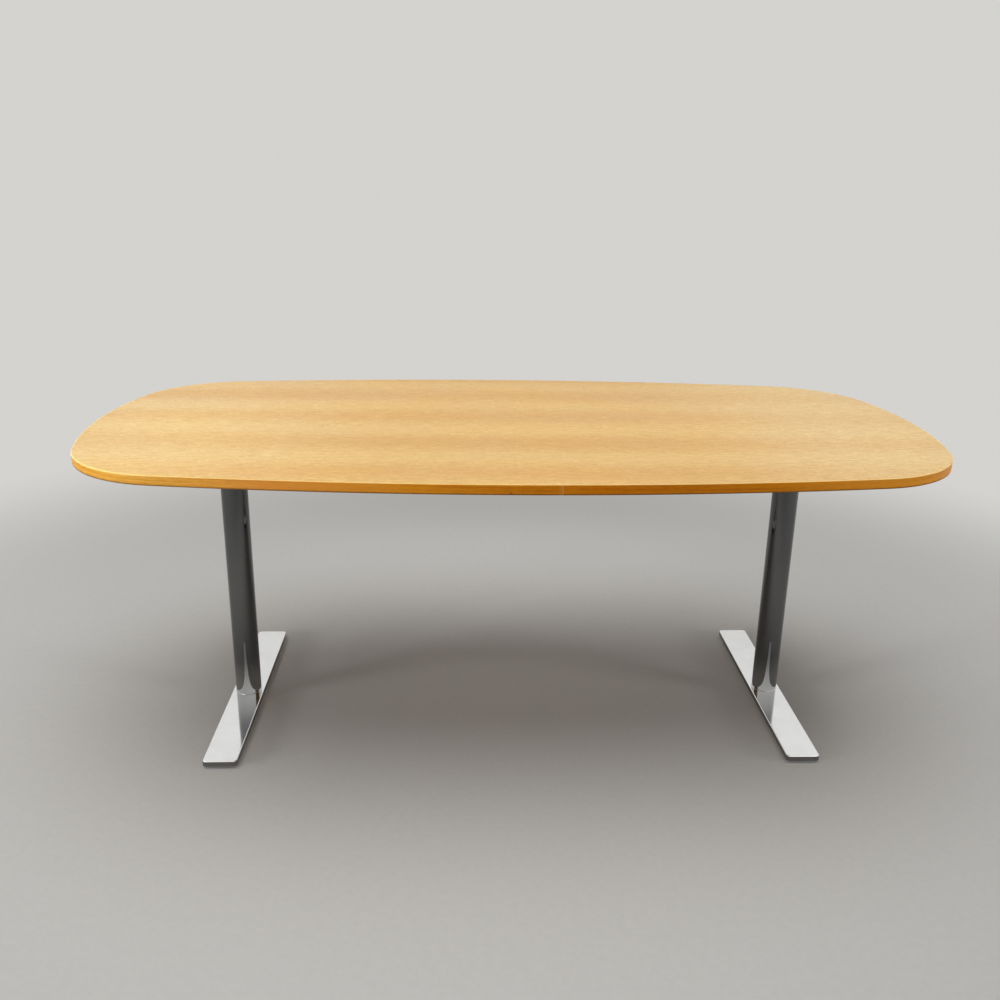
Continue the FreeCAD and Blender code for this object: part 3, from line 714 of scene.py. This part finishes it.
SEGMENTS = 48
SCREW_SEGMENTS = 64
PAD_SEGMENTS = 72
SHARP_EDGE = math.radians(35)
TINY = 0.00001


def hexagon(flats):
    """Radius of a hexagon at each angle, its flats facing Y."""
    def radius(angle):
        return flats / 2 / math.cos(angle % (TAU / 6) - TAU / 12)
    return radius


def clipped(flats, limit):
    """A hexagon whose corners are turned down to a limit."""
    outer = hexagon(flats)
    return lambda angle: min(outer(angle), limit)


def value_at(amount, angle):
    return amount(angle) if callable(amount) else amount


class Solid:
    """Collects turned bodies for one piece."""

    def __init__(self):
        self.verts = []
        self.faces = []

    def turn(self, rings, frame_at, segments=SEGMENTS):
        """Add a body turned about Z from rings of radius and height, closed at both ends."""
        first = len(self.verts)
        for radius, height in rings:
            for i in range(segments):
                angle = TAU * i / segments
                r, z = value_at(radius, angle), value_at(height, angle)
                corner = Vector((r * math.cos(angle), r * math.sin(angle), z))
                self.verts.append(tuple(frame_at @ corner))
        for k in range(len(rings) - 1):
            low, high = first + k * segments, first + (k + 1) * segments
            for i in range(segments):
                m = (i + 1) % segments
                self.faces.append((low + i, low + m, high + m, high + i))
        last = first + (len(rings) - 1) * segments
        self.faces.append(tuple(first + i for i in reversed(range(segments))))
        self.faces.append(tuple(last + i for i in range(segments)))

    def finish(self, name, slot_name, stands_for, body="table"):
        piece = add_piece(name, self.verts, self.faces, slot_name, body)
        piece.data.set_sharp_from_angle(angle=SHARP_EDGE)
        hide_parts(stands_for)


ROUND_STEPS = 5


def round_over(outer, height, radius):
    """Rings of a rounded rim, from its crown out and up to its side."""
    rings = []
    for i in range(ROUND_STEPS + 1):
        a = math.pi / 2 * i / ROUND_STEPS
        rings.append((outer - radius * (1 - math.sin(a)), height + radius * (1 - math.cos(a))))
    return rings


THREAD_FLANK = 1.5
THREAD_ROOT = 0.25


def thread_rings(outer, inner, pitch, low, high, steps):
    """Rings of a right-handed thread between two heights, running out at both."""
    rings = []
    count = round((high - low) / pitch * steps)
    for i in range(count + 1):
        z = low + (high - low) * i / count
        ease = min(1.0, min(i, count - i) / steps)

        def radius(angle, z=z, ease=ease):
            turn = (z / pitch - angle / TAU) % 1.0
            crest = THREAD_FLANK * (1 - abs(2 * turn - 1)) - THREAD_ROOT
            return inner + (outer - inner) * min(1.0, max(0.0, crest)) * ease
        rings.append((radius, z))
    return rings


# ---------------------------------------------------------------- bolts and screws

SOCKET_FLATS = 0.005
SOCKET_DEPTH = 0.003
SOCKET_POINT = 0.0006
SOCKET_FLOOR_SHARE = 0.96
EDGE_BREAK = 0.0003
HEAD_ROUND = 0.0015
BOLT_CHAMFER = 0.001


def bolt_rings(head_width, head_height, shank_width, shank_length):
    """A button head bolt that stands on its head, with a hexagon socket in it."""
    floor = SOCKET_DEPTH - head_height
    socket = hexagon(SOCKET_FLATS)
    mouth = SOCKET_FLATS / 2 / math.cos(TAU / 12) + EDGE_BREAK
    head, shank = head_width / 2, shank_width / 2
    return [
        (TINY, floor + SOCKET_POINT), (lambda angle: socket(angle) * SOCKET_FLOOR_SHARE, floor),
        (socket, floor + EDGE_BREAK), (socket, EDGE_BREAK - head_height), (mouth, -head_height),
        *round_over(head, -head_height, HEAD_ROUND),
        (head, -EDGE_BREAK), (head - EDGE_BREAK, 0.0), (shank, 0.0),
        (shank, shank_length - BOLT_CHAMFER), (shank - BOLT_CHAMFER, shank_length),
        (TINY, shank_length),
    ]


RECESS_DEPTH = 0.0017
RECESS_REACH = 0.0027
RECESS_WIDTH = 0.0013
RECESS_TAPER = 0.35
RECESS_WALL = 0.00016
RECESS_SLOPE = 1.6
RECESS_RINGS = 13
RECESS_RING_STEP = 0.00022


def recess(radius):
    """Depth of a cross recess at each angle of a radius, its arms narrowing outwards."""
    half = RECESS_WIDTH / 2 * (1 - RECESS_TAPER * radius / RECESS_REACH)
    slope = max(0.0, 1 - (radius / RECESS_REACH) ** 2)

    def depth(angle):
        off = radius * min(abs(math.sin(angle)), abs(math.cos(angle)))
        wall = min(1.0, max(0.0, (half - off) / RECESS_WALL + 0.5))
        return RECESS_DEPTH * wall * min(1.0, slope * RECESS_SLOPE)
    return depth


SCREW_PITCH = 0.0018
SCREW_THREAD_START = 0.004
SCREW_THREAD_STEPS = 6
SCREW_ROOT_SHARE = 0.72
SCREW_TIP_WIDTH_SHARE = 0.35
SCREW_TIP_LENGTH_SHARE = 0.4


def screw_rings(head_width, head_height, shank_width, shank_length, tip):
    """A pan head wood screw that stands on its head, with a cross recess and a coarse thread."""
    rings = []
    for i in range(1, RECESS_RINGS + 1):
        radius = RECESS_RING_STEP * i
        deep = recess(radius)
        rings.append((radius, lambda angle, deep=deep: deep(angle) - head_height))
    head, shank = head_width / 2, shank_width / 2
    rings += round_over(head, -head_height, HEAD_ROUND)
    rings += [(head, -EDGE_BREAK), (head - EDGE_BREAK, 0.0), (shank, 0.0)]
    rings += thread_rings(
        shank, shank * SCREW_ROOT_SHARE, SCREW_PITCH, SCREW_THREAD_START, shank_length - tip,
        SCREW_THREAD_STEPS,
    )
    rings.append((shank * SCREW_TIP_WIDTH_SHARE, shank_length - tip * SCREW_TIP_LENGTH_SHARE))
    rings.append((TINY, shank_length))
    return rings


# Places of the source's fasteners: distance from the column along X, from the table's middle
# line along Y and, for the rails, the height.
COLUMN_X = 0.690
COLUMN_RADIUS = 0.0325
FLANGE_BOTTOM = 0.716
ARM_WEB_BOTTOM = 0.724
FOOT_TOP = 0.020
FLANGE_BOLT_PLACE = (0.0255, 0.0435)
SCREW_PLACE = (0.020, 0.280)
RAIL_BOLT_PLACE = (0.037, 0.150, 0.713)
FOOT_BOLT_Y = 0.015
FOOT_BOLT_SEAT = 0.0155

# Width and height of the head, width and length of the shank, and for the screw its tip
FLANGE_BOLT = (0.014, 0.005, 0.008, 0.023)
RAIL_BOLT = (0.014, 0.005, 0.008, 0.020)
FOOT_BOLT = (0.013, 0.008, 0.008, 0.0225)
ARM_SCREW = (0.009, 0.003, 0.0045, 0.018, 0.004)


def random_spin():
    return Matrix.Rotation(rng.uniform(0, TAU), 4, "Z")


def make_fasteners():
    """Bolts with sockets and screws with cross recesses, each group in place of its node."""
    for side, sign in SIDES.items():
        flange, screws, rails, feet = Solid(), Solid(), Solid(), Solid()
        column = COLUMN_X * sign
        for step in (-1, 1):
            for end in ENDS.values():
                spin = random_spin()
                x, y = FLANGE_BOLT_PLACE
                spot = Matrix.Translation((column + x * step, y * end, FLANGE_BOTTOM))
                flange.turn(bolt_rings(*FLANGE_BOLT), spot @ spin)
                x, y = SCREW_PLACE
                spot = Matrix.Translation((column + x * step, y * end, ARM_WEB_BOTTOM))
                screws.turn(screw_rings(*ARM_SCREW), spot @ spin, SCREW_SEGMENTS)
        for end in ENDS.values():
            spin = random_spin()
            x, y, z = RAIL_BOLT_PLACE
            spot = Matrix.Translation(((COLUMN_X - x) * sign, y * end, z))
            inward = Matrix.Rotation(-math.pi / 2 * sign, 4, "Y")
            rails.turn(bolt_rings(*RAIL_BOLT), spot @ inward @ spin)
            spot = Matrix.Translation((column, FOOT_BOLT_Y * end, FOOT_BOLT_SEAT))
            feet.turn(bolt_rings(*FOOT_BOLT), spot @ spin)
        flange.finish(f"flange_socket_bolts_{side}", "zinc_steel", f"flange_bolts_{side}")
        screws.finish(f"arm_cross_screws_{side}", "zinc_steel", f"arm_screws_{side}")
        rails.finish(f"rail_socket_bolts_{side}", "zinc_steel", f"rail_bolts_{side}")
        feet.finish(f"foot_socket_bolts_{side}", "zinc_steel", f"foot_bolts_{side}")


# ---------------------------------------------------------------- glides

GLIDE_Y = 0.298

# Stud, from the floor up: a button, a neck, a spanner collar and a threaded shank
BUTTON_RADIUS = 0.0045
BUTTON_LOW, BUTTON_HIGH = 0.0015, 0.0025
NECK_RADIUS = 0.0035
COLLAR_FLATS = 0.013
COLLAR_LIMIT = 0.0069
COLLAR_LOW, COLLAR_HIGH = 0.0040, 0.0070
COLLAR_BREAK = 0.0004
RELIEF_RADIUS = 0.0036
STUD_RADIUS = 0.0040
STUD_ROOT = 0.0034
STUD_PITCH = 0.00125
STUD_THREAD_LOW, STUD_THREAD_HIGH = 0.0071, 0.0160
STUD_THREAD_STEPS = 8
STUD_END = 0.0165
STUD_END_RADIUS = 0.0030

# Pad: grooves underneath, a rounded rim, and the socket that holds the button
PAD_RADIUS = 0.017
PAD_HEIGHT = 0.0040
PAD_GROOVES = (0.006, 0.009, 0.012)
GROOVE_WIDTH = 0.0012
GROOVE_DEPTH = 0.0005
GROOVE_SLOPE = 0.0002
PAD_LOWER_ROUND = 0.0005
PAD_UPPER_ROUND = 0.001
PAD_UPPER_ANGLES = (0, 0.4, 0.8, 1.2, math.pi / 2)
PAD_MOUTH = 0.0038
PAD_MOUTH_BREAK = 0.0002
PAD_SOCKET = 0.0048
PAD_SOCKET_LOW, PAD_SOCKET_HIGH = 0.0012, 0.0028


def stud_rings():
    collar = hexagon(COLLAR_FLATS)
    turned = clipped(COLLAR_FLATS, COLLAR_LIMIT)
    return [
        (TINY, BUTTON_LOW), (BUTTON_RADIUS - EDGE_BREAK, BUTTON_LOW),
        (BUTTON_RADIUS, BUTTON_LOW + EDGE_BREAK), (BUTTON_RADIUS, BUTTON_HIGH - EDGE_BREAK),
        (BUTTON_RADIUS - EDGE_BREAK, BUTTON_HIGH),
        (NECK_RADIUS, BUTTON_HIGH), (NECK_RADIUS, COLLAR_LOW),
        (turned, COLLAR_LOW), (collar, COLLAR_LOW + COLLAR_BREAK),
        (collar, COLLAR_HIGH - COLLAR_BREAK), (turned, COLLAR_HIGH), (RELIEF_RADIUS, COLLAR_HIGH),
        *thread_rings(
            STUD_RADIUS, STUD_ROOT, STUD_PITCH, STUD_THREAD_LOW, STUD_THREAD_HIGH,
            STUD_THREAD_STEPS,
        ),
        (STUD_END_RADIUS, STUD_END), (TINY, STUD_END),
    ]


def pad_rings():
    rings = [(TINY, 0.0)]
    for groove in PAD_GROOVES:
        outer = groove + GROOVE_WIDTH
        rings += [
            (groove, 0.0), (groove + GROOVE_SLOPE, GROOVE_DEPTH),
            (outer - GROOVE_SLOPE, GROOVE_DEPTH), (outer, 0.0),
        ]
    rings += round_over(PAD_RADIUS, 0.0, PAD_LOWER_ROUND)
    for a in PAD_UPPER_ANGLES:
        inset = PAD_UPPER_ROUND * (1 - math.cos(a))
        drop = PAD_UPPER_ROUND * (1 - math.sin(a))
        rings.append((PAD_RADIUS - inset, PAD_HEIGHT - drop))
    rings += [
        (PAD_MOUTH + PAD_MOUTH_BREAK, PAD_HEIGHT), (PAD_MOUTH, PAD_HEIGHT - PAD_MOUTH_BREAK),
        (PAD_MOUTH, PAD_SOCKET_HIGH), (PAD_SOCKET, PAD_SOCKET_HIGH),
        (PAD_SOCKET, PAD_SOCKET_LOW), (TINY, PAD_SOCKET_LOW),
    ]
    return rings


def make_glides(rings, segments, name, slot_name, node_name):
    """One turned body at each glide, in place of its node and moving with its body."""
    for side, sign in SIDES.items():
        for end_name, end in ENDS.items():
            spot = f"{end_name}_{side}"
            glide = Solid()
            place = Matrix.Translation((COLUMN_X * sign, GLIDE_Y * end, 0))
            glide.turn(rings, place, segments)
            node = f"{node_name}_{spot}"
            glide.finish(f"{name}_{spot}", slot_name, node, node)


# ---------------------------------------------------------------- beads round the columns

WELD_AROUND, WELD_ACROSS = 240, 8
WELD_SIZE = 0.0019
WELD_OFFSET = 0.0004
WELD_FLATNESS = 0.9
RIPPLE_SHARE, RIPPLE_COUNT = 0.10, 40
SWELL_SHARE, SWELL_COUNT, SWELL_START = 0.06, 7, 1
BASE_AROUND, BASE_ACROSS = 160, 12
BASE_SIZE = 0.0011
BASE_OFFSET = 0.0001


def weld_section(angle, a):
    """Radius and height of the rippled weld below a flange."""
    ripple = RIPPLE_SHARE * math.sin(angle * RIPPLE_COUNT)
    swell = SWELL_SHARE * math.sin(angle * SWELL_COUNT + SWELL_START)
    size = WELD_SIZE * (1 + ripple + swell)
    r = COLUMN_RADIUS + WELD_OFFSET + size * math.cos(a)
    return r, FLANGE_BOTTOM - WELD_OFFSET + size * math.sin(a) * WELD_FLATNESS


def base_section(_, a):
    """Radius and height of the fine bead of plate where a column meets its foot."""
    r = COLUMN_RADIUS + BASE_OFFSET + BASE_SIZE * math.cos(a)
    return r, FOOT_TOP + BASE_OFFSET + BASE_SIZE * math.sin(a)


def make_beads(name, section, around, across, slot_name):
    """A closed bead round each column."""
    for side, sign in SIDES.items():
        verts, faces = [], []
        for i in range(around):
            angle = TAU * i / around
            for k in range(across):
                r, z = section(angle, TAU * k / across)
                verts.append((COLUMN_X * sign + r * math.cos(angle), r * math.sin(angle), z))
                m, n = (i + 1) % around, (k + 1) % across
                here, there = i * across, m * across
                faces.append((here + k, there + k, there + n, here + n))
        add_piece(f"{name}_{side}", verts, faces, slot_name)


make_fasteners()
make_glides(stud_rings(), SEGMENTS, "threaded_stud", "zinc_steel", "glide_stud")
make_glides(pad_rings(), PAD_SEGMENTS, "ribbed_pad", "glide_plastic", "glide_pad")
make_beads("weld_bead", weld_section, WELD_AROUND, WELD_ACROSS, "zinc_steel")
make_beads("base_bead", base_section, BASE_AROUND, BASE_ACROSS, "chrome_bar")


# ---------------------------------------------------------------- floor and light

BACKDROP = (0.655, 0.648, 0.625)
BACKDROP_HIGH = (0.93, 0.93, 0.92)
BACKDROP_RISE = (0.22, 0.66)
AMBIENT = (0.98, 0.99, 1.0)
AMBIENT_LEVEL = 0.16
FLOOR_COLOUR = (0.70, 0.695, 0.68)
FLOOR_GRAIN_TONE = 0.97
FLOOR_FADE = (1.3, 2.9)
FLOOR_RADIUS = 30
FLOOR_CORNERS = 64

DAYLIGHT = (1.0, 0.99, 0.97)
WARM_LIGHT = (1.0, 0.985, 0.96)
FILL_SPREAD = 30
OVERHEAD_SPREAD = 130

# Name, place, aim, width and depth, power, colour, spread, and whether mirrors show it
LAMPS = [
    ("overhead", (-0.28, -0.15, 2.6), (-0.28, -0.15, 0.0), (4.2, 2.6), 41.5, WARM_LIGHT,
     OVERHEAD_SPREAD, True),
    ("left_window", (-4.5, -1.9, 1.0), (-0.8, -0.1, 0.75), (1.6, 1.0), 5.2, DAYLIGHT,
     FILL_SPREAD, False),
    ("front_fill", (-4.4, -4.6, 0.95), (-0.2, -0.4, 0.75), (2.2, 1.0), 3.0, WARM_LIGHT,
     FILL_SPREAD, False),
    ("right_fill", (4.6, -1.6, 1.0), (0.9, 0.0, 0.75), (1.6, 1.0), 3.8, WARM_LIGHT,
     FILL_SPREAD, False),
]


def seen_directly(net):
    """One for rays from the camera, a mirror or glass, nothing for light that is spread."""
    rays = net.node("ShaderNodeLightPath").outputs
    seen = net.math("MAXIMUM", rays["Is Camera Ray"], rays["Is Glossy Ray"])
    return net.math("MAXIMUM", seen, rays["Is Transmission Ray"])


def mix_shaders(net, amount, first, second):
    made = net.node("ShaderNodeMixShader", {0: amount, 1: first.outputs[0], 2: second.outputs[0]})
    return made.outputs[0]


def make_world():
    """A pale backdrop to the eye and in mirrors, and a weak even light otherwise."""
    world = bpy.data.worlds.new("studio")
    bpy.context.scene.world = world
    net = Net(world)
    up = net.split(net.node("ShaderNodeTexCoord").outputs["Generated"])[2]
    sky = net.blend(net.span(up, *BACKDROP_RISE), BACKDROP, BACKDROP_HIGH)
    shown = net.node("ShaderNodeBackground", {0: sky, 1: 1.0})
    fill = net.node("ShaderNodeBackground", {0: (*AMBIENT, 1), 1: AMBIENT_LEVEL})
    net.node("ShaderNodeOutputWorld", {0: mix_shaders(net, seen_directly(net), fill, shown)})


def make_floor():
    """A plain pale floor that runs into the backdrop far from the table."""
    material, net = new_material("studio_floor")
    place = net.place()
    x, y, _ = net.split(place)
    grain = net.noise(place, scale=60.0, detail=4.0, rough=0.6)
    floor_wear_and_arris_highlight = tuple(c * FLOOR_GRAIN_TONE for c in FLOOR_COLOUR)
    colour = net.blend(net.span(grain, 0.3, 0.7), FLOOR_COLOUR, floor_wear_and_arris_highlight)
    matt = net.node("ShaderNodeBsdfDiffuse", {0: colour})
    far = net.node("ShaderNodeEmission", {0: (*BACKDROP, 1), 1: 1.0})
    away = net.math("SQRT", net.math("ADD", net.times(x, x), net.times(y, y)))
    fade = net.times(net.span(away, *FLOOR_FADE), seen_directly(net))
    net.node("ShaderNodeOutputMaterial", {0: mix_shaders(net, fade, matt, far)})
    mesh = bpy.data.meshes.new("floor")
    angles = [TAU * i / FLOOR_CORNERS for i in range(FLOOR_CORNERS)]
    ring = [(FLOOR_RADIUS * math.cos(a), FLOOR_RADIUS * math.sin(a), 0.0) for a in angles]
    mesh.from_pydata(ring, [], [tuple(range(FLOOR_CORNERS))])
    mesh.materials.append(material)
    floor = bpy.data.objects.new("floor", mesh)
    bpy.context.scene.collection.objects.link(floor)


def make_lamp(name, place, aim, size, power, colour, spread, mirrored):
    """A soft rectangular lamp, out of the camera's sight and, unless said, out of mirrors."""
    data = bpy.data.lights.new(name, "AREA")
    data.shape = "RECTANGLE"
    data.size, data.size_y = size
    data.energy = power
    data.color = colour
    data.spread = math.radians(spread)
    lamp = bpy.data.objects.new(name, data)
    lamp.location = place
    lamp.visible_camera = False
    lamp.visible_glossy = mirrored
    lamp.rotation_euler = (Vector(aim) - Vector(place)).to_track_quat("-Z", "Y").to_euler()
    bpy.context.scene.collection.objects.link(lamp)


make_world()
make_floor()
for lamp_values in LAMPS:
    make_lamp(*lamp_values)
